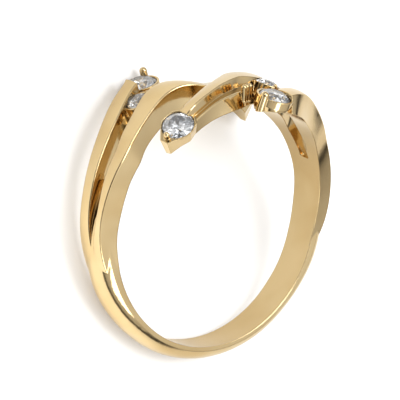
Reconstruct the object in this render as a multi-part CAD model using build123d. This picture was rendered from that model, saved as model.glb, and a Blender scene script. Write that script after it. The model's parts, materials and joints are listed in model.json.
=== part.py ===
"""A bypass ring cast in yellow gold, with six round cut stones, lying on its side.

Two strands leave each side of a half-round hoop. The short one of each pair ends at the edge of
the ring's top in a rounded cup with a large stone. The long one sweeps over the top to the other
side, where it ends in a pointed box with a large stone. A smaller stone sits in each fork.

The ring is first built standing: its finger axis is Y, its top is +Z and its front is -Y. Angles
go round the finger axis, from 0 at the right through 90 at the top and 180 at the left. At the
end the ring is laid down on its back, where it rests on two stone settings and the hoop.
"""

import os
from collections import namedtuple
from math import cos, radians, sin

from build123d import *

# Hoop and strands, in millimetres
BORE_RADIUS = 8.25
HOOP_WIDTH = 2.55
HOOP_THICKNESS = 0.98
STRAND_RISE = 1.8
EDGE_ROUNDING = 0.1
SLOT_WIDTH = 0.84
SLOT_CORNER = 0.18

# Stones and how they are held
LARGE_STONE = 2.1
SMALL_STONE = 1.65
STONE_CLEARANCE = 0.03
CUP_WALL = 0.18
CUP_TAPER = 0.85
CUP_WAIST = 0.35
CULET_HOLE_RADIUS = 0.3
PRONG_OVERLAP = 0.45
RIB_RADIUS = 0.18

# The pointed boxes at the long strands' ends: their wall beside the stone, their size at the foot
# as a share of the stone's, and how far they reach onward at the rim and at the foot
BOX_WALL = 0.1
BOX_FOOT = 0.74
BOX_RIM_POINT = 1.55
BOX_FOOT_POINT = 1.4

# Half of a pointed box's outline, as shares of its size: along the strand and away from it
BOX_OUTLINE = (
    (0.80, 0.64),
    (0.20, 1.02),
    (-0.62, 0.90),
    (-1.00, 0.50),
)
BOX_NOSE = 0.25

# Proportions of a round brilliant cut, as shares of its diameter
TABLE_SHARE = 0.56
CROWN_SHARE = 0.15
GIRDLE_SHARE = 0.03
PAVILION_SHARE = 0.4
CUT_SIDES = 8

# How far the metal is drawn inside the finger hole before the hole is cut
OVERCUT = 0.4

# How closely the resting points are found
REST_TOLERANCE = 0.005
REST_STEPS = 8

# A section of the hoop: its angle, its middle and half its width as shares of half the hoop's
# width, and its height in the middle and at the sides as shares of the hoop's thickness.
HoopSection = namedtuple("HoopSection", "angle middle half_width top side")
HOOP_LEFT = (
    HoopSection(228, 0.00, 1.00, 1.02, 0.28),
    HoopSection(216, 0.00, 1.00, 1.12, 0.34),
    HoopSection(205, 0.00, 0.99, 1.24, 0.42),
    HoopSection(194, -0.04, 0.95, 1.33, 0.52),
    HoopSection(183, -0.10, 0.86, 1.29, 0.58),
    HoopSection(172, -0.08, 0.76, 1.08, 0.52),
    HoopSection(161, 0.04, 0.66, 0.72, 0.40),
    HoopSection(150, 0.13, 0.56, 0.36, 0.24),
)
HOOP_RIGHT = (
    HoopSection(-48, 0.00, 1.00, 1.02, 0.28),
    HoopSection(-36, 0.00, 1.00, 1.12, 0.34),
    HoopSection(-25, 0.00, 0.99, 1.24, 0.42),
    HoopSection(-14, 0.04, 0.95, 1.32, 0.52),
    HoopSection(-3, 0.00, 0.86, 1.24, 0.58),
    HoopSection(8, -0.22, 0.76, 0.92, 0.52),
    HoopSection(19, -0.52, 0.66, 0.48, 0.36),
    HoopSection(29, -0.85, 0.54, 0.22, 0.16),
)

# A section of a strand: its angle, where its front and back sides stand at the bore and at the
# crest, as shares of half the hoop's width, the heights of its front and back crests as shares
# of the strands' rise, and how far its top domes up as a share of its width.
StrandSection = namedtuple(
    "StrandSection", "angle foot_front foot_back crest_front crest_back rise_front rise_back dome"
)
SHORT_LEFT = (
    StrandSection(207, -0.20, 0.80, -0.20, 0.55, 0.20, 0.15, 0.1),
    StrandSection(196, -0.24, 0.97, -0.24, 0.78, 0.60, 0.48, 0.1),
    StrandSection(185, -0.22, 1.01, -0.20, 0.82, 0.69, 0.60, 0.08),
    StrandSection(173, 0.02, 1.09, 0.08, 0.88, 0.74, 0.72, 0.06),
    StrandSection(161, 0.27, 1.23, 0.31, 1.03, 0.75, 0.75, 0.06),
    StrandSection(149, 0.50, 1.50, 0.54, 1.35, 0.76, 0.76, 0.06),
    StrandSection(138, 0.78, 1.96, 0.80, 1.74, 0.78, 0.78, 0.06),
    StrandSection(128, 1.25, 2.43, 1.22, 2.26, 0.80, 0.80, 0.06),
    StrandSection(119, 1.84, 2.90, 1.74, 2.70, 0.85, 0.85, 0.06),
    StrandSection(111, 2.31, 3.50, 2.16, 3.14, 0.91, 0.94, 0.06),
)
LONG_LEFT = (
    StrandSection(207, -0.82, -0.25, -0.60, -0.30, 0.15, 0.20, 0.1),
    StrandSection(196, -0.94, -0.23, -0.76, -0.28, 0.40, 0.52, 0.1),
    StrandSection(185, -1.01, -0.26, -0.88, -0.30, 0.62, 0.69, 0.08),
    StrandSection(173, -1.04, -0.38, -0.88, -0.41, 0.73, 0.74, 0.06),
    StrandSection(161, -1.13, -0.38, -0.96, -0.43, 0.75, 0.75, 0.06),
    StrandSection(149, -1.11, -0.27, -1.08, -0.28, 0.76, 0.76, 0.06),
    StrandSection(138, -1.00, -0.03, -1.04, -0.04, 0.76, 0.76, 0.06),
    StrandSection(128, -0.75, 0.36, -0.84, 0.32, 0.78, 0.79, 0.06),
    StrandSection(119, -0.59, 0.80, -0.60, 0.75, 0.83, 0.85, 0.06),
    StrandSection(111, -0.40, 1.00, -0.44, 0.95, 0.89, 0.93, 0.06),
    StrandSection(104, -0.44, 1.00, -0.46, 0.90, 0.87, 0.86, 0.06),
    StrandSection(98, -0.75, 0.95, -0.72, 0.82, 0.75, 0.68, 0.06),
    StrandSection(92, -1.15, 0.95, -1.10, 0.80, 0.56, 0.46, 0.06),
    StrandSection(85, -0.85, 1.35, -0.80, 1.20, 0.42, 0.34, 0.06),
    StrandSection(77, -0.10, 2.00, 0.00, 1.85, 0.36, 0.32, 0.06),
    StrandSection(69, 0.85, 2.70, 0.95, 2.55, 0.38, 0.36, 0.06),
    StrandSection(61, 1.80, 3.35, 1.90, 3.20, 0.50, 0.48, 0.06),
    StrandSection(54, 2.40, 3.95, 2.50, 3.68, 0.62, 0.42, 0.06),
)
SHORT_RIGHT = (
    StrandSection(-27, -0.80, 0.20, -0.55, 0.20, 0.15, 0.20, 0.1),
    StrandSection(-16, -0.94, 0.20, -0.74, 0.18, 0.40, 0.52, 0.1),
    StrandSection(-5, -1.10, 0.04, -0.92, 0.00, 0.60, 0.67, 0.08),
    StrandSection(7, -1.38, -0.30, -1.14, -0.30, 0.69, 0.71, 0.06),
    StrandSection(18, -1.68, -0.72, -1.46, -0.76, 0.70, 0.71, 0.06),
    StrandSection(30, -2.15, -1.28, -1.90, -1.24, 0.70, 0.72, 0.06),
    StrandSection(41, -2.70, -1.60, -2.58, -1.65, 0.71, 0.75, 0.06),
    StrandSection(51, -3.28, -2.10, -3.08, -2.05, 0.80, 0.83, 0.06),
    StrandSection(60, -3.95, -2.70, -3.60, -2.45, 0.86, 0.94, 0.06),
    StrandSection(67, -4.45, -3.00, -4.05, -2.75, 0.80, 0.88, 0.06),
    StrandSection(73.6, -4.72, -3.27, -4.42, -3.12, 0.65, 0.71, 0.06),
)
LONG_RIGHT = (
    StrandSection(-27, 0.15, 0.80, 0.15, 0.55, 0.20, 0.15, 0.1),
    StrandSection(-16, 0.15, 0.97, 0.17, 0.78, 0.60, 0.48, 0.1),
    StrandSection(-5, 0.05, 0.93, 0.08, 0.78, 0.68, 0.64, 0.08),
    StrandSection(7, 0.00, 0.72, 0.02, 0.66, 0.74, 0.73, 0.06),
    StrandSection(18, -0.25, 0.52, -0.22, 0.50, 0.75, 0.75, 0.06),
    StrandSection(30, -0.47, 0.39, -0.44, 0.43, 0.75, 0.75, 0.06),
    StrandSection(41, -0.68, 0.28, -0.66, 0.35, 0.76, 0.76, 0.06),
    StrandSection(51, -1.28, 0.26, -0.96, 0.30, 0.80, 0.82, 0.06),
    StrandSection(60, -1.62, 0.22, -1.14, 0.22, 0.88, 0.93, 0.06),
    StrandSection(68, -1.72, 0.08, -1.24, 0.08, 0.94, 1.00, 0.06),
    StrandSection(75, -1.84, -0.16, -1.58, -0.22, 0.96, 1.00, 0.06),
    StrandSection(82, -1.96, -0.48, -1.84, -0.55, 0.98, 0.97, 0.06),
    StrandSection(90, -2.31, -1.02, -2.16, -1.06, 0.98, 0.92, 0.06),
    StrandSection(96, -2.59, -1.42, -2.47, -1.49, 0.97, 0.90, 0.06),
    StrandSection(103, -2.82, -1.80, -2.82, -1.85, 0.96, 0.88, 0.06),
    StrandSection(110, -2.98, -2.12, -3.10, -2.20, 0.97, 0.88, 0.06),
    StrandSection(115, -3.06, -2.28, -3.20, -2.36, 0.94, 0.87, 0.06),
    StrandSection(118.5, -3.04, -2.38, -3.14, -2.48, 0.84, 0.78, 0.06),
)
# The ledge along the front of the right long strand, which carries on to the pointed box
LEDGE = (
    StrandSection(72, -1.45, -0.70, -1.45, -0.70, 0.20, 0.20, 0.06),
    StrandSection(78, -2.10, -0.80, -2.00, -0.80, 0.42, 0.42, 0.06),
    StrandSection(84, -2.60, -1.00, -2.42, -1.00, 0.54, 0.50, 0.06),
    StrandSection(91, -3.05, -1.30, -2.80, -1.30, 0.56, 0.50, 0.06),
    StrandSection(98, -3.20, -1.60, -3.02, -1.60, 0.56, 0.50, 0.06),
    StrandSection(105, -3.18, -2.00, -3.20, -2.00, 0.56, 0.50, 0.06),
    StrandSection(112, -3.18, -2.15, -3.36, -2.15, 0.54, 0.48, 0.06),
    StrandSection(119, -3.22, -2.30, -3.50, -2.30, 0.52, 0.48, 0.06),
)

# Where a stone sits: its angle, its place across the ring as a share of half the hoop's width,
# its girdle's height as a share of the strands' rise, how many degrees it leans to the back, the
# heading of its strand there, from 0 towards rising angles to 90 towards the back, and its size.
Seat = namedtuple("Seat", "angle across height lean heading size")
SEATS = {
    "left_end": Seat(105.2, 3.03, 0.505, 0, 140, LARGE_STONE),
    "right_end": Seat(79.0, -3.90, 0.485, -14, -12, LARGE_STONE),
    "left_box": Seat(123.5, -2.92, 0.63, -22, -6, LARGE_STONE),
    "right_box": Seat(47.5, 3.50, 0.63, 22, 165, LARGE_STONE),
    "left_fork": Seat(117.0, 1.46, 0.585, 0, -25, SMALL_STONE),
    "right_fork": Seat(70.0, -1.70, 0.80, -6, 155, SMALL_STONE),
}

# A prong beside a stone: its stone's seat, its bearing from the strand's heading, its radius, how
# far it reaches above the girdle, and how deep its foot stands as a share of the seat's depth
Prong = namedtuple("Prong", "seat bearing radius reach foot")
PRONGS = (
    Prong("left_end", 0, 0.25, 0.42, 1),
    Prong("left_end", 165, 0.15, 0.12, 1),
    Prong("right_end", 5, 0.29, 0.18, 1),
    Prong("right_end", -130, 0.15, 0.12, 1),
    Prong("left_box", 0, 0.2, 0.34, 0.3),
    Prong("right_box", 0, 0.2, 0.34, 0.3),
    Prong("left_fork", -100, 0.14, 0.12, 1),
    Prong("left_fork", 150, 0.14, 0.12, 1),
    Prong("right_fork", -115, 0.14, 0.12, 1),
    Prong("right_fork", 20, 0.14, 0.12, 1),
)

# A rib on the ledge's front: its angle, its place across the ring as a share of half the hoop's
# width, and where it begins and ends as shares of the strands' rise
Rib = namedtuple("Rib", "angle across low high")
RIBS = (
    Rib(88.0, -2.80, 0.24, 0.72),
    Rib(86.0, -2.68, 0.24, 0.72),
    Rib(83.6, -2.54, 0.22, 0.72),
)

# Where a slot ends between the strands: its first and last angle there, and its middle at those
# angles, as shares of half the hoop's width
SlotEnd = namedtuple("SlotEnd", "low high low_middle high_middle")
SLOT_ENDS = (
    SlotEnd(153.5, 146, 0.10, 0.15),
    SlotEnd(23.8, 31, -0.74, -0.86),
)


def ring_point(angle, across, radius):
    """The point at an angle round the finger axis, a place along it and a distance from it."""
    turn = radians(angle)
    return Vector(radius * cos(turn), across, radius * sin(turn))


def outward(angle):
    """The direction straight out from the finger axis at an angle."""
    return ring_point(angle, 0, 1)


def onward(angle):
    """The direction round the ring, towards rising angles."""
    return ring_point(angle + 90, 0, 1)


def section_plane(angle):
    """The plane through the finger axis at an angle: X runs along that axis, Y straight out."""
    return Plane(origin=(0, 0, 0), x_dir=(0, 1, 0), z_dir=-onward(angle))


def seat_plane(seat):
    """The plane of a stone's girdle: X points along the strand, Z out through the table."""
    centre = ring_point(
        seat.angle,
        seat.across * HOOP_WIDTH / 2,
        BORE_RADIUS + seat.height * STRAND_RISE,
    )
    lean = radians(seat.lean)
    heading = radians(seat.heading)
    axis = outward(seat.angle) * cos(lean) + Vector(0, sin(lean), 0)
    along = onward(seat.angle) * cos(heading) + Vector(0, sin(heading), 0)
    return Plane(origin=centre, x_dir=along - axis * along.dot(axis), z_dir=axis)


def side_at(foot, crest, rise, level):
    """The place across the ring of a strand's side at a level above the bore."""
    half = HOOP_WIDTH / 2
    return half * (foot + (crest - foot) * level / (rise * STRAND_RISE))


def hoop_face(row):
    """A half-round section of the hoop, drawn past the bore."""
    half = HOOP_WIDTH / 2
    front = (row.middle - row.half_width) * half
    back = (row.middle + row.half_width) * half
    side = BORE_RADIUS + row.side * HOOP_THICKNESS
    top = (row.middle * half, BORE_RADIUS + row.top * HOOP_THICKNESS)
    inside = BORE_RADIUS - OVERCUT
    outline = (
        Line((front, inside), (front, side))
        + ThreePointArc((front, side), top, (back, side))
        + Line((back, side), (back, inside))
        + Line((back, inside), (front, inside))
    )
    return section_plane(row.angle) * make_face(outline)


def strand_face(row):
    """A section of a strand, with a slightly domed top and rounded crests."""
    front = (row.foot_front, row.crest_front, row.rise_front)
    back = (row.foot_back, row.crest_back, row.rise_back)
    front_level = row.rise_front * STRAND_RISE
    back_level = row.rise_back * STRAND_RISE
    inside = BORE_RADIUS - OVERCUT
    front_foot = (side_at(*front, -OVERCUT), inside)
    back_foot = (side_at(*back, -OVERCUT), inside)
    front_crest = (side_at(*front, front_level), BORE_RADIUS + front_level)
    back_crest = (side_at(*back, back_level), BORE_RADIUS + back_level)
    dome = row.dome * (back_crest[0] - front_crest[0])
    top = (
        (front_crest[0] + back_crest[0]) / 2,
        (front_crest[1] + back_crest[1]) / 2 + dome,
    )
    outline = (
        Line(front_foot, front_crest)
        + ThreePointArc(front_crest, top, back_crest)
        + Line(back_crest, back_foot)
        + Line(back_foot, front_foot)
    )
    face = make_face(outline)
    crests = face.vertices().sort_by(Axis.Y)[-2:]
    return section_plane(row.angle) * fillet(crests, EDGE_ROUNDING)


def hoop():
    """The lower half of the ring: a round arc, and ends that run up between the strands."""
    left = HOOP_LEFT[0]
    right = HOOP_RIGHT[0]
    arc = revolve(hoop_face(left), Axis((0, 0, 0), (0, -1, 0)), 360 + right.angle - left.angle)
    ends = [loft([hoop_face(row) for row in rows]) for rows in (HOOP_LEFT, HOOP_RIGHT)]
    return arc + ends[0] + ends[1]


def strand(rows):
    """One strand, through its sections."""
    return loft([strand_face(row) for row in rows])


def round_cup(seat):
    """The rounded cup of a stone, wider at its rim, down past the bore."""
    depth = seat.height * STRAND_RISE + OVERCUT
    rim = seat.size / 2 + CUP_WALL
    base = rim * CUP_TAPER
    level = seat.size * GIRDLE_SHARE
    waist = -depth * CUP_WAIST
    wall = Polyline((0, -depth), (base, -depth), (rim, waist), (rim, level), (0, level), close=True)
    return seat_plane(seat) * revolve(Plane.XZ * make_face(wall), Axis.Z)


def box_outline(size, point):
    """The outline of a pointed box: round the stone at its sides, with a blunt point onward."""
    side = [(point, size * BOX_NOSE)] + [(size * along, size * away) for along, away in BOX_OUTLINE]
    other_side = [(along, -away) for along, away in reversed(side)]
    return Polyline(*side, *other_side, close=True)


def pointed_box(seat):
    """The pointed box of a stone at a long strand's end, whose walls lean in to a point below."""
    depth = seat.height * STRAND_RISE + OVERCUT
    half = seat.size / 2
    top = Pos(0, 0, seat.size * GIRDLE_SHARE) * make_face(box_outline(half + BOX_WALL, BOX_RIM_POINT))
    bottom = Pos(0, 0, -depth) * make_face(box_outline(half * BOX_FOOT, BOX_FOOT_POINT))
    return seat_plane(seat) * loft([bottom, top])


def prong(row):
    """A round-topped prong beside a stone, down past the bore."""
    seat = SEATS[row.seat]
    depth = row.foot * (seat.height * STRAND_RISE + OVERCUT)
    away = seat.size / 2 + row.radius * (1 - PRONG_OVERLAP)
    upright = (Align.CENTER, Align.CENTER, Align.MIN)
    stem = Pos(0, 0, -depth) * Cylinder(row.radius, depth + row.reach, align=upright)
    tip = Pos(0, 0, row.reach) * Sphere(row.radius)
    return seat_plane(seat) * Rot(0, 0, row.bearing) * Pos(away, 0, 0) * (stem + tip)


def rib(row):
    """A rib with rounded ends."""
    foot = ring_point(row.angle, row.across * HOOP_WIDTH / 2, BORE_RADIUS + row.low * STRAND_RISE)
    length = (row.high - row.low) * STRAND_RISE
    upright = (Align.CENTER, Align.CENTER, Align.MIN)
    stem = Cylinder(RIB_RADIUS, length, align=upright)
    shape = stem + Sphere(RIB_RADIUS) + Pos(0, 0, length) * Sphere(RIB_RADIUS)
    return Plane(origin=foot, z_dir=outward(row.angle)) * shape


def slot_end(row):
    """The cut that squares off a slot's end, with rounded corners."""
    half = HOOP_WIDTH / 2
    low = ring_point(row.low, row.low_middle * half, BORE_RADIUS)
    high = ring_point(row.high, row.high_middle * half, BORE_RADIUS)
    middle = (low + high) / 2
    floor = Plane(origin=middle, x_dir=high - low, z_dir=outward((row.low + row.high) / 2))
    outline = RectangleRounded((high - low).length, SLOT_WIDTH, SLOT_CORNER)
    return extrude(floor * outline, STRAND_RISE, both=True)


def stone_pocket(seat):
    """The room that a stone takes in the metal, with its clearance all round."""
    size = seat.size
    gap = STONE_CLEARANCE
    radius = size / 2 + gap
    girdle = size * GIRDLE_SHARE / 2 + gap
    room = Polyline(
        (0, -girdle - size * PAVILION_SHARE),
        (radius, -girdle),
        (radius, girdle),
        (size * TABLE_SHARE / 2 + gap, girdle + size * CROWN_SHARE),
        (0, girdle + size * CROWN_SHARE),
        close=True,
    )
    return seat_plane(seat) * revolve(Plane.XZ * make_face(room), Axis.Z)


def facet_ring(radius, height, sides, shift):
    """The corners of a ring of facets, turned by a share of one side."""
    step = 360 / sides
    return [Vector(radius, 0, height).rotate(Axis.Z, step * (index + shift)) for index in range(sides)]


def cut_stone(size):
    """A round brilliant: table, stars, kites, girdle, lower halves and mains."""
    sides = CUT_SIDES
    girdle_radius = size / 2
    half_girdle = size * GIRDLE_SHARE / 2
    table_radius = size * TABLE_SHARE / 2
    crown = size * CROWN_SHARE
    depth = size * PAVILION_SHARE
    across = cos(radians(180 / sides))
    star_radius = (girdle_radius + table_radius) / 2
    half_radius = girdle_radius * 0.3
    star_drop = (girdle_radius - star_radius * across) / (girdle_radius - table_radius)
    half_drop = (girdle_radius - half_radius * across) / girdle_radius
    table = facet_ring(table_radius, half_girdle + crown, sides, 0)
    stars = facet_ring(star_radius, half_girdle + crown * star_drop, sides, 0.5)
    upper = facet_ring(girdle_radius, half_girdle, 2 * sides, 0)
    lower = facet_ring(girdle_radius, -half_girdle, 2 * sides, 0)
    halves = facet_ring(half_radius, -half_girdle - depth * half_drop, sides, 0.5)
    culet = Vector(0, 0, -half_girdle - depth)
    outlines = [table]
    for index in range(sides):
        after = (index + 1) % sides
        before = index - 1
        corner = 2 * index
        beside = corner + 1
        opposite = (corner + 2) % (2 * sides)
        outlines.append((table[index], table[after], stars[index]))
        outlines.append((table[index], stars[before], upper[corner], stars[index]))
        outlines.append((stars[index], upper[corner], upper[beside]))
        outlines.append((stars[index], upper[beside], upper[opposite]))
        outlines.append((upper[corner], lower[corner], lower[beside], upper[beside]))
        outlines.append((upper[beside], lower[beside], lower[opposite], upper[opposite]))
        outlines.append((halves[index], lower[corner], lower[beside]))
        outlines.append((halves[index], lower[beside], lower[opposite]))
        outlines.append((culet, halves[before], lower[corner], halves[index]))
    faces = [Face(Wire.make_polygon(outline)) for outline in outlines]
    return Solid(Shell(faces))


def ring_metal():
    """The whole casting, with the finger hole, the slots' ends and the stones' pockets cut."""
    metal = hoop()
    for rows in (SHORT_LEFT, LONG_LEFT, SHORT_RIGHT, LONG_RIGHT, LEDGE):
        metal += strand(rows)
    for name in ("left_end", "right_end", "left_fork", "right_fork"):
        metal += round_cup(SEATS[name])
    for name in ("left_box", "right_box"):
        metal += pointed_box(SEATS[name])
    for row in PRONGS:
        metal += prong(row)
    for row in RIBS:
        metal += rib(row)
    metal -= Rot(90, 0, 0) * Cylinder(BORE_RADIUS, 8 * HOOP_WIDTH)
    for row in SLOT_ENDS:
        metal -= slot_end(row)
    for name in ("left_end", "right_end"):
        metal -= seat_plane(SEATS[name]) * Cylinder(CULET_HOLE_RADIUS, 2 * STRAND_RISE)
    for seat in SEATS.values():
        metal -= stone_pocket(seat)
    return metal


def resting_plane(metal):
    """The plane that the ring lies on by itself: it touches the hoop and two stone settings."""
    points = metal.tessellate(REST_TOLERANCE)[0]
    regions = (
        [point for point in points if point.Z < 0],
        [point for point in points if point.Z > 0 and point.X < 0],
        [point for point in points if point.Z > 0 and point.X > 0],
    )
    down = Vector(0, 1, 0)
    for _ in range(REST_STEPS):
        feet = [max(region, key=down.dot) for region in regions]
        down = (feet[1] - feet[0]).cross(feet[2] - feet[0]).normalized()
    right = Vector(1, 0, 0)
    return Plane(origin=feet[0], x_dir=right - down * right.dot(down), z_dir=-down)


def standing_pieces():
    """Every piece of the ring, by its name, with the ring standing."""
    pieces = {"ring_band": ring_metal()}
    for name, seat in SEATS.items():
        pieces["stone_" + name] = seat_plane(seat) * cut_stone(seat.size)
    return pieces


def rest_location(pieces):
    """The move that lays the ring down, centred over the origin."""
    turned = resting_plane(pieces["ring_band"]).location.inverse()
    box = Compound([turned * piece for piece in pieces.values()]).bounding_box()
    centre = box.center()
    return Pos(-centre.X, -centre.Y, -box.min.Z) * turned


def main():
    """Build the ring, lay it down and write one file for each of its pieces."""
    pieces = standing_pieces()
    laid = rest_location(pieces)
    os.makedirs("parts", exist_ok=True)
    for name, piece in pieces.items():
        export_step(laid * piece, f"parts/{name}.step")


main()
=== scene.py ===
"""Finishes the bypass diamond ring in polished gold and cut stone, lit on a pale floor."""

import json
import math

import bpy
from mathutils import Matrix, Vector

bl_info = {
    "name": "Bypass Diamond Ring",
    "version": (1, 0, 0),
    "blender": (4, 5, 0),
    "location": "3D View > Sidebar > Diamond Ring",
    "description": "Finishes a gold bypass ring with six diamonds and sets it in a small studio",
    "category": "Object",
}

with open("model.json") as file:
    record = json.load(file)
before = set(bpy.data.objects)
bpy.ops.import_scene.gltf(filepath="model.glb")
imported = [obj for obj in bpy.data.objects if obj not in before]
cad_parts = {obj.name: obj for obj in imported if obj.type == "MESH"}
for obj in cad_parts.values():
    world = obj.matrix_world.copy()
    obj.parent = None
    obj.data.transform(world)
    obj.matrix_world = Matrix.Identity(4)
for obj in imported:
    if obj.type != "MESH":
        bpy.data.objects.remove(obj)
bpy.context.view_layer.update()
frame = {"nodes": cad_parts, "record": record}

CASTING = "ring_band"
STONES = [name for name in sorted(frame["nodes"]) if name.startswith("stone_")]
BORE = frame["record"]["mounts"][0]
RING_CENTRE = Vector(BORE["pos_m"])
FRONT = Vector(BORE["axis"]).normalized()
ACROSS = Vector((0, 1, 0)).cross(FRONT).normalized()
UPRIGHT = FRONT.cross(ACROSS).normalized()

MILLIMETRE = 0.001

# The polishing wheel's lines: how they are turned and stretched on the gold, how much of their
# noise is used, and how rough the gold is between and on them, as shares of its roughness
LINE_TURN = (0.5, 0.9, 0.3)
LINE_STRETCH = (1.0, 0.09, 1.0)
LINE_SPREAD = (0.3, 0.7)
POLISH_SPREAD = (0.7, 1.5)

# How much of the noise between two drifting tones is used
DRIFT_SPREAD = (0.35, 0.65)

# How far off a wall of metal still deepens the gold with painted shade, and how soon it does
PAINTED_SHADE_REACH = 0.9 * MILLIMETRE
PAINTED_SHADE_CURVE = 0.6

# Rays that look for walls and edges round a point on the gold
FEELER_RAYS = 8

# How small the fire's patches are on the stones, as the scale of its noise
FIRE_SCALE = 1500.0

# One row per light: its name, its bearing and height round the ring in degrees, its distance and
# size in metres, and its power in watts
LIGHTS = (
    ("Overhead softbox", 40.0, 80.0, 0.55, (0.30, 0.26), 0.9),
    ("Front softbox", 250.0, 38.0, 0.55, (0.20, 0.30), 0.5),
    ("Back softbox", 110.0, 42.0, 0.60, (0.40, 0.16), 0.4),
)

# The studio paper: its roughness, the scale of its faint clouds, and their shade
PAPER_ROUGHNESS = 0.55
PAPER_CLOUDS = 6.0
PAPER_SHADE = 0.985

# Painted reflection, which lays light and shade into the gold: the floor's colour as only the ring
# mirrors it, its lighter colour towards one bearing in degrees, and where that fades, as the cosine
# of the angle from the bearing
PAINTED_FLOOR_REFLECTION = (0.70, 0.68, 0.64)
PAINTED_REFLECTION_GLEAM = (1.0, 1.0, 0.98)
PAINTED_GLEAM_BEARING = 208.0
PAINTED_GLEAM_FADE = (0.45, 0.97)

# How bright the studio's walls are from the floor up: the sine of the height, and the brightness
SKY_LEVELS = (
    (0.001, 0.50),
    (0.03, 0.44),
    (0.07, 0.04),
    (0.12, 0.10),
    (0.22, 0.50),
    (0.45, 0.60),
    (0.70, 0.70),
    (0.999, 0.95),
)

# A dark patch in the studio's walls, which gives the gold its shade: its brightness, its bearing
# and height in degrees, and where it fades, as the cosine of the angle from its middle
DARK_LEVEL = 0.02
DARK_BEARING = 174.5
DARK_HEIGHT = 47.0
DARK_FADE = (0.90, 0.965)

# The plain wall that the camera sees, and that lights the floor
BACKDROP_LEVEL = 0.95

# The camera: its sensor and lens in millimetres, and in metres the point that it looks at, from the
# ring's centre to the right and up in the picture, and how far off things start to show
SENSOR_WIDTH = 36.0
LENS_LENGTH = 411.1
AIM_RIGHT = -0.394 * MILLIMETRE
AIM_UP = 1.350 * MILLIMETRE
NEAREST = 0.01


# Shared helpers


def deselect_all():
    """Leaves nothing selected."""
    for item in bpy.context.selected_objects:
        item.select_set(False)


def settle(item):
    """Moves the object's place and turn into its mesh."""
    deselect_all()
    item.select_set(True)
    bpy.context.view_layer.objects.active = item
    bpy.ops.object.transform_apply(location=True, rotation=True, scale=True)
    deselect_all()


def new_group(name, inputs, outputs):
    """An empty shader node group with named sockets, and its input and output nodes."""
    group = bpy.data.node_groups.new(name, "ShaderNodeTree")
    for label, kind, value in inputs:
        socket = group.interface.new_socket(label, in_out="INPUT", socket_type=kind)
        if value is not None:
            socket.default_value = value
    for label, kind in outputs:
        group.interface.new_socket(label, in_out="OUTPUT", socket_type=kind)
    return group, group.nodes.new("NodeGroupInput"), group.nodes.new("NodeGroupOutput")


def add_node(tree, kind, **values):
    """Adds a node to a material or group, with its settings."""
    node = tree.nodes.new(kind)
    for key, value in values.items():
        setattr(node, key, value)
    return node


def feed(tree, socket, value):
    """Links a socket to another node's output, or sets it to a plain value."""
    if isinstance(value, bpy.types.NodeSocket):
        tree.links.new(value, socket)
    else:
        socket.default_value = value


def maths(tree, operation, first, second):
    """The result of a sum on two numbers, each plain or from another node."""
    node = add_node(tree, "ShaderNodeMath", operation=operation)
    feed(tree, node.inputs[0], first)
    feed(tree, node.inputs[1], second)
    return node.outputs["Value"]


def stretch_range(tree, value, found, wanted=(0.0, 1.0), smooth=False):
    """A number moved from the range that it is found in to the range that is wanted."""
    way = "SMOOTHSTEP" if smooth else "LINEAR"
    node = add_node(tree, "ShaderNodeMapRange", interpolation_type=way)
    node.inputs["From Min"].default_value, node.inputs["From Max"].default_value = found
    node.inputs["To Min"].default_value, node.inputs["To Max"].default_value = wanted
    tree.links.new(value, node.inputs["Value"])
    return node.outputs["Result"]


def mix_colours(tree, share, first, second):
    """A blend of two colours, by the share of the second one."""
    node = add_node(tree, "ShaderNodeMix", data_type="RGBA")
    sockets = [socket for socket in node.inputs if socket.type == "RGBA"]
    feed(tree, node.inputs["Factor"], share)
    feed(tree, sockets[0], first)
    feed(tree, sockets[1], second)
    return next(socket for socket in node.outputs if socket.type == "RGBA")


def solid(colour):
    """A colour with its full opacity."""
    return (*colour, 1.0)


def grey(level):
    """A grey at a brightness."""
    return solid((level, level, level))


def direction_to(bearing, height):
    """The direction at a bearing round the ring and a height above the floor, in degrees."""
    turn = math.radians(bearing)
    rise = math.radians(height)
    run = math.cos(rise)
    return Vector((math.cos(turn) * run, math.sin(turn) * run, math.sin(rise)))


def nearness(tree, place, direction):
    """The cosine of the angle between a direction from a node and a fixed one."""
    node = add_node(tree, "ShaderNodeVectorMath", operation="DOT_PRODUCT")
    node.inputs[1].default_value = direction
    tree.links.new(place, node.inputs[0])
    return node.outputs["Value"]


def use_group(tree, group, coordinates, **values):
    """Places a node group in a material, on the object's own coordinates."""
    node = add_node(tree, "ShaderNodeGroup", node_tree=group)
    tree.links.new(coordinates, node.inputs["Vector"])
    for label, value in values.items():
        node.inputs[label.replace("_", " ")].default_value = value
    return node


def give(node_name, material):
    """Puts a material on every slot of a CAD node."""
    slots = frame["nodes"][node_name].data.materials
    if not slots:
        slots.append(material)
    for index in range(len(slots)):
        slots[index] = material


# Effects that the finishes share


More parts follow.
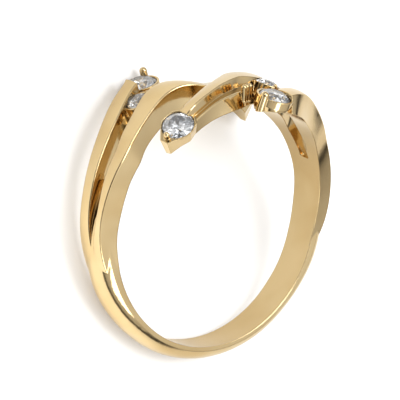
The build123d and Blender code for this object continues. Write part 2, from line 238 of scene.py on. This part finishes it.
def polish_marks():
    """Fine lines left by the polishing wheel, with a slow waver of the surface under them."""
    group, entry, result = new_group(
        "Polish marks",
        [
            ("Vector", "NodeSocketVector", None),
            ("Line Scale", "NodeSocketFloat", 2600.0),
            ("Waver Scale", "NodeSocketFloat", 330.0),
            ("Line Share", "NodeSocketFloat", 0.3),
        ],
        [("Height", "NodeSocketFloat"), ("Lines", "NodeSocketFloat")],
    )
    stretch = add_node(group, "ShaderNodeMapping")
    stretch.inputs["Rotation"].default_value = LINE_TURN
    stretch.inputs["Scale"].default_value = LINE_STRETCH
    group.links.new(entry.outputs["Vector"], stretch.inputs["Vector"])
    lines = add_node(group, "ShaderNodeTexNoise")
    lines.inputs["Detail"].default_value = 4.0
    group.links.new(stretch.outputs["Vector"], lines.inputs["Vector"])
    group.links.new(entry.outputs["Line Scale"], lines.inputs["Scale"])
    waver = add_node(group, "ShaderNodeTexNoise")
    waver.inputs["Detail"].default_value = 1.0
    group.links.new(entry.outputs["Vector"], waver.inputs["Vector"])
    group.links.new(entry.outputs["Waver Scale"], waver.inputs["Scale"])
    share = maths(group, "MULTIPLY", lines.outputs["Fac"], entry.outputs["Line Share"])
    height = maths(group, "ADD", share, waver.outputs["Fac"])
    group.links.new(height, result.inputs["Height"])
    group.links.new(lines.outputs["Fac"], result.inputs["Lines"])
    return group


def tone_drift():
    """Two tones that drift into each other over the surface."""
    group, entry, result = new_group(
        "Tone drift",
        [
            ("Vector", "NodeSocketVector", None),
            ("Drift Scale", "NodeSocketFloat", 180.0),
            ("Light Tone", "NodeSocketColor", (1, 1, 1, 1)),
            ("Deep Tone", "NodeSocketColor", (0.8, 0.8, 0.8, 1)),
        ],
        [("Color", "NodeSocketColor")],
    )
    cloud = add_node(group, "ShaderNodeTexNoise")
    cloud.inputs["Detail"].default_value = 3.0
    group.links.new(entry.outputs["Vector"], cloud.inputs["Vector"])
    group.links.new(entry.outputs["Drift Scale"], cloud.inputs["Scale"])
    share = stretch_range(group, cloud.outputs["Fac"], DRIFT_SPREAD)
    blend = mix_colours(group, share, entry.outputs["Deep Tone"], entry.outputs["Light Tone"])
    group.links.new(blend, result.inputs["Color"])
    return group


def shared_group(name, maker):
    """The shared effect of that name, made the first time that it is asked for."""
    return bpy.data.node_groups.get(name) or maker()


class RingGoldSettings(bpy.types.PropertyGroup):
    """The gold's colours, its painted shade in recesses, and its polish"""

    light_tone: bpy.props.FloatVectorProperty(
        name="Light gold", description="Colour of the freshly polished gold",
        subtype="COLOR", default=(0.77, 0.615, 0.37), min=0.0, max=1.0)
    deep_tone: bpy.props.FloatVectorProperty(
        name="Deep gold", description="Colour that the gold drifts to in its darker patches",
        subtype="COLOR", default=(0.66, 0.495, 0.265), min=0.0, max=1.0)
    # Painted shade: the darker colour that the gold is blended to in its slots and seats
    painted_recess_shade: bpy.props.FloatVectorProperty(
        name="Painted recess shade", description="Painted shade colour for the gold deep in slots and seats",
        subtype="COLOR", default=(0.50, 0.34, 0.16), min=0.0, max=1.0)
    polish: bpy.props.FloatProperty(
        name="Roughness", description="Roughness of the polished gold, from mirror to matt",
        default=0.1, min=0.0, max=1.0)
    edge_softness: bpy.props.FloatProperty(
        name="Edge softness", description="How far the polishing has rounded the casting's edges",
        subtype="DISTANCE", unit="LENGTH", default=0.00009, min=0.0, precision=6)
    mark_depth: bpy.props.FloatProperty(
        name="Polish marks", description="Depth of the marks that the polishing left",
        subtype="DISTANCE", unit="LENGTH", default=0.000003, min=0.0, precision=6)


class RingStoneSettings(bpy.types.PropertyGroup):
    """The stones' colours and clearness"""

    clear_tone: bpy.props.FloatVectorProperty(
        name="Clear tone", description="Body colour of the diamonds",
        subtype="COLOR", default=(1.0, 1.0, 1.0), min=0.0, max=1.0)
    fire_tone: bpy.props.FloatVectorProperty(
        name="Fire tone", description="Faint colour that some facets flash",
        subtype="COLOR", default=(0.90, 0.94, 1.0), min=0.0, max=1.0)
    refraction: bpy.props.FloatProperty(
        name="Refraction", description="Index of refraction of the stones",
        default=2.42, min=1.0, max=3.0)
    clearness: bpy.props.FloatProperty(
        name="Clearness", description="Share of the light that isn't scattered to a milky white",
        subtype="FACTOR", default=0.9, min=0.0, max=1.0)


class RingStudioSettings(bpy.types.PropertyGroup):
    """The floor, the lights and the camera's place"""

    floor_tone: bpy.props.FloatVectorProperty(
        name="Floor", description="Colour of the studio floor",
        subtype="COLOR", default=(0.93, 0.93, 0.93), min=0.0, max=1.0)
    floor_size: bpy.props.FloatProperty(
        name="Floor size", description="Length of the floor's side",
        subtype="DISTANCE", unit="LENGTH", default=1.6, min=0.1)
    view_turn: bpy.props.FloatProperty(
        name="View turn", description="How far round from the ring's front the camera stands",
        subtype="ANGLE", unit="ROTATION", default=math.radians(37.9))
    view_rise: bpy.props.FloatProperty(
        name="View rise", description="How far the camera stands above the finger line",
        subtype="ANGLE", unit="ROTATION", default=math.radians(14.0))
    view_distance: bpy.props.FloatProperty(
        name="View distance", description="Distance from the camera to the ring",
        subtype="DISTANCE", unit="LENGTH", default=0.3, min=0.05)
    light_power: bpy.props.FloatProperty(
        name="Light", description="Strength of all studio lights", default=1.0, min=0.0)


class RING_OT_gold(bpy.types.Operator):
    """Gives the casting its polished gold, with painted shade darkening its slots and seats"""

    bl_idname = "ring.gold"
    bl_label = "Polish the Gold"

    def execute(self, context):
        settings = context.scene.ring_gold
        material = bpy.data.materials.new("Polished yellow gold")
        material.use_nodes = True
        tree = material.node_tree
        shader = tree.nodes["Principled BSDF"]
        shader.inputs["Metallic"].default_value = 1.0
        place = add_node(tree, "ShaderNodeTexCoord").outputs["Object"]

        marks = use_group(tree, shared_group("Polish marks", polish_marks), place)
        tones = use_group(
            tree, shared_group("Tone drift", tone_drift), place,
            Light_Tone=solid(settings.light_tone), Deep_Tone=solid(settings.deep_tone))

        # Painted shade: ambient occlusion blends the gold towards the darker recess colour in
        # slots, seats and between strands
        painted_shade_occlusion = add_node(tree, "ShaderNodeAmbientOcclusion", samples=FEELER_RAYS)
        painted_shade_occlusion.inputs["Distance"].default_value = PAINTED_SHADE_REACH
        openness = maths(tree, "POWER", painted_shade_occlusion.outputs["AO"], PAINTED_SHADE_CURVE)
        colour = mix_colours(tree, openness, solid(settings.painted_recess_shade), tones.outputs["Color"])
        tree.links.new(colour, shader.inputs["Base Color"])

        spread = [settings.polish * share for share in POLISH_SPREAD]
        rough = stretch_range(tree, marks.outputs["Lines"], LINE_SPREAD, spread)
        tree.links.new(rough, shader.inputs["Roughness"])

        edges = add_node(tree, "ShaderNodeBevel", samples=FEELER_RAYS)
        edges.inputs["Radius"].default_value = settings.edge_softness
        bump = add_node(tree, "ShaderNodeBump")
        tree.links.new(edges.outputs["Normal"], bump.inputs["Normal"])
        bump.inputs["Distance"].default_value = settings.mark_depth
        tree.links.new(marks.outputs["Height"], bump.inputs["Height"])
        tree.links.new(bump.outputs["Normal"], shader.inputs["Normal"])
        give(CASTING, material)
        return {"FINISHED"}


class RING_OT_stones(bpy.types.Operator):
    """Makes the six stones clear diamond, with a faint fire from facet to facet"""

    bl_idname = "ring.stones"
    bl_label = "Clear the Diamonds"

    def execute(self, context):
        settings = context.scene.ring_stones
        material = bpy.data.materials.new("Cut diamond")
        material.use_nodes = True
        tree = material.node_tree
        shader = tree.nodes["Principled BSDF"]
        shader.inputs["Transmission Weight"].default_value = settings.clearness
        shader.inputs["IOR"].default_value = settings.refraction
        shader.inputs["Roughness"].default_value = 0.0
        place = add_node(tree, "ShaderNodeTexCoord").outputs["Object"]
        tones = use_group(
            tree, shared_group("Tone drift", tone_drift), place, Drift_Scale=FIRE_SCALE,
            Light_Tone=solid(settings.clear_tone), Deep_Tone=solid(settings.fire_tone))
        tree.links.new(tones.outputs["Color"], shader.inputs["Base Color"])
        for name in STONES:
            give(name, material)
        return {"FINISHED"}


class RING_OT_stage(bpy.types.Operator):
    """Sets the floor, the soft lights and the camera"""

    bl_idname = "ring.stage"
    bl_label = "Set the Stage"

    def execute(self, context):
        settings = context.scene.ring_studio
        self.lay_floor(settings)
        self.light_sky(context.scene)
        for row in LIGHTS:
            self.hang_light(settings, *row)
        self.set_camera(context.scene, settings)
        context.scene.view_settings.view_transform = "Standard"
        context.scene.view_settings.look = "Medium High Contrast"
        return {"FINISHED"}

    def lay_floor(self, settings):
        """A sheet of pale paper under the ring, with a painted reflection: calmer where the ring
        mirrors it.
        """
        deselect_all()
        bpy.ops.mesh.primitive_plane_add(size=settings.floor_size, location=(0, 0, 0))
        floor = bpy.context.active_object
        floor.name = "Studio floor"
        settle(floor)
        material = bpy.data.materials.new("Pale studio paper")
        material.use_nodes = True
        tree = material.node_tree
        shader = tree.nodes["Principled BSDF"]
        shader.inputs["Roughness"].default_value = PAPER_ROUGHNESS
        place = add_node(tree, "ShaderNodeTexCoord").outputs["Object"]
        shade = [channel * PAPER_SHADE for channel in settings.floor_tone]
        tones = use_group(
            tree, shared_group("Tone drift", tone_drift), place, Drift_Scale=PAPER_CLOUDS,
            Light_Tone=solid(settings.floor_tone), Deep_Tone=solid(shade))
        # Painted reflection: only glossy rays see the darker floor with its light patch, which lays
        # light and shade into the gold's mirror image
        painted_reflection = self.paint_floor_reflection(tree, place)
        path = add_node(tree, "ShaderNodeLightPath")
        seen = mix_colours(tree, path.outputs["Is Glossy Ray"], tones.outputs["Color"], painted_reflection)
        tree.links.new(seen, shader.inputs["Base Color"])
        floor.data.materials.append(material)

    def paint_floor_reflection(self, tree, place):
        """The floor's painted reflection as the ring mirrors it, light towards one side and calmer
        elsewhere.
        """
        bearing = add_node(tree, "ShaderNodeVectorMath", operation="NORMALIZE")
        tree.links.new(place, bearing.inputs[0])
        facing = nearness(tree, bearing.outputs["Vector"], direction_to(PAINTED_GLEAM_BEARING, 0.0))
        painted_gleam = stretch_range(tree, facing, PAINTED_GLEAM_FADE, smooth=True)
        return mix_colours(tree, painted_gleam, solid(PAINTED_FLOOR_REFLECTION), solid(PAINTED_REFLECTION_GLEAM))

    def light_sky(self, scene):
        """Studio walls that the ring mirrors, and a plain backdrop for the camera and the floor."""
        world = bpy.data.worlds.new("Studio sky")
        scene.world = world
        world.use_nodes = True
        tree = world.node_tree
        place = add_node(tree, "ShaderNodeTexCoord").outputs["Generated"]
        parts = add_node(tree, "ShaderNodeSeparateXYZ")
        tree.links.new(place, parts.inputs["Vector"])
        ramp = add_node(tree, "ShaderNodeValToRGB")
        stops = ramp.color_ramp.elements
        for position, level in SKY_LEVELS:
            stops.new(position).color = grey(level)
        stops.remove(stops[0])
        stops.remove(stops[len(stops) - 1])
        tree.links.new(parts.outputs["Z"], ramp.inputs["Fac"])
        facing = nearness(tree, place, direction_to(DARK_BEARING, DARK_HEIGHT))
        dark = stretch_range(tree, facing, DARK_FADE)
        walls = mix_colours(tree, dark, ramp.outputs["Color"], grey(DARK_LEVEL))
        sky = tree.nodes["Background"]
        sky.inputs["Strength"].default_value = 1.0
        tree.links.new(walls, sky.inputs["Color"])

        backdrop = add_node(tree, "ShaderNodeBackground")
        backdrop.inputs["Color"].default_value = grey(BACKDROP_LEVEL)
        path = add_node(tree, "ShaderNodeLightPath")
        ray = path.outputs
        plain = maths(tree, "MAXIMUM", ray["Is Camera Ray"], ray["Is Diffuse Ray"])
        choose = add_node(tree, "ShaderNodeMixShader")
        tree.links.new(plain, choose.inputs[0])
        tree.links.new(sky.outputs["Background"], choose.inputs[1])
        tree.links.new(backdrop.outputs["Background"], choose.inputs[2])
        tree.links.new(choose.outputs["Shader"], tree.nodes["World Output"].inputs["Surface"])

    def hang_light(self, settings, name, bearing, height, distance, size, power):
        """A soft light that faces the ring's centre."""
        direction = direction_to(bearing, height)
        lamp = bpy.data.lights.new(name, "AREA")
        lamp.shape = "RECTANGLE"
        lamp.size, lamp.size_y = size
        lamp.energy = power * settings.light_power
        holder = bpy.data.objects.new(name, lamp)
        bpy.context.scene.collection.objects.link(holder)
        holder.location = RING_CENTRE + direction * distance
        holder.rotation_euler = direction.to_track_quat("Z", "Y").to_euler()

    def set_camera(self, scene, settings):
        """The camera, placed from the ring's own front, side and top."""
        turn = settings.view_turn
        rise = settings.view_rise
        ahead = (
            ACROSS * math.sin(turn) * math.cos(rise)
            - FRONT * math.cos(turn) * math.cos(rise)
            - UPRIGHT * math.sin(rise)
        )
        right = ACROSS * math.cos(turn) + FRONT * math.sin(turn)
        above = right.cross(ahead)
        aim = RING_CENTRE + right * AIM_RIGHT + above * AIM_UP
        lens = bpy.data.cameras.new("Camera")
        lens.sensor_fit = "HORIZONTAL"
        lens.sensor_width = SENSOR_WIDTH
        lens.lens = LENS_LENGTH
        lens.clip_start = NEAREST
        camera = bpy.data.objects.new("Camera", lens)
        scene.collection.objects.link(camera)
        facing = Matrix((right, above, -ahead)).transposed().to_4x4()
        camera.matrix_world = Matrix.Translation(aim - ahead * settings.view_distance) @ facing
        scene.camera = camera


class RING_PT_panel(bpy.types.Panel):
    """Lists the ring's finishes and its studio"""

    bl_idname = "RING_PT_panel"
    bl_label = "Diamond Ring"
    bl_space_type = "VIEW_3D"
    bl_region_type = "UI"
    bl_category = "Diamond Ring"

    def draw(self, context):
        scene = context.scene
        for title, settings, operator in (
            ("Gold", scene.ring_gold, RING_OT_gold),
            ("Diamonds", scene.ring_stones, RING_OT_stones),
            ("Studio", scene.ring_studio, RING_OT_stage),
        ):
            box = self.layout.box()
            box.label(text=title)
            for key in settings.__annotations__:
                box.prop(settings, key)
            box.operator(operator.bl_idname)


CLASSES = (
    RingGoldSettings, RingStoneSettings, RingStudioSettings,
    RING_OT_gold, RING_OT_stones, RING_OT_stage, RING_PT_panel,
)


def register():
    """Adds the ring's settings, operators and panel to Blender."""
    for item in CLASSES:
        bpy.utils.register_class(item)
    bpy.types.Scene.ring_gold = bpy.props.PointerProperty(type=RingGoldSettings)
    bpy.types.Scene.ring_stones = bpy.props.PointerProperty(type=RingStoneSettings)
    bpy.types.Scene.ring_studio = bpy.props.PointerProperty(type=RingStudioSettings)


def unregister():
    """Takes the ring's settings, operators and panel out again."""
    del bpy.types.Scene.ring_studio
    del bpy.types.Scene.ring_stones
    del bpy.types.Scene.ring_gold
    for item in reversed(CLASSES):
        bpy.utils.unregister_class(item)


def main():
    """Finishes the ring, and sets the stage."""
    register()
    bpy.ops.ring.gold()
    bpy.ops.ring.stones()
    bpy.ops.ring.stage()


if __name__ == "__main__":
    main()
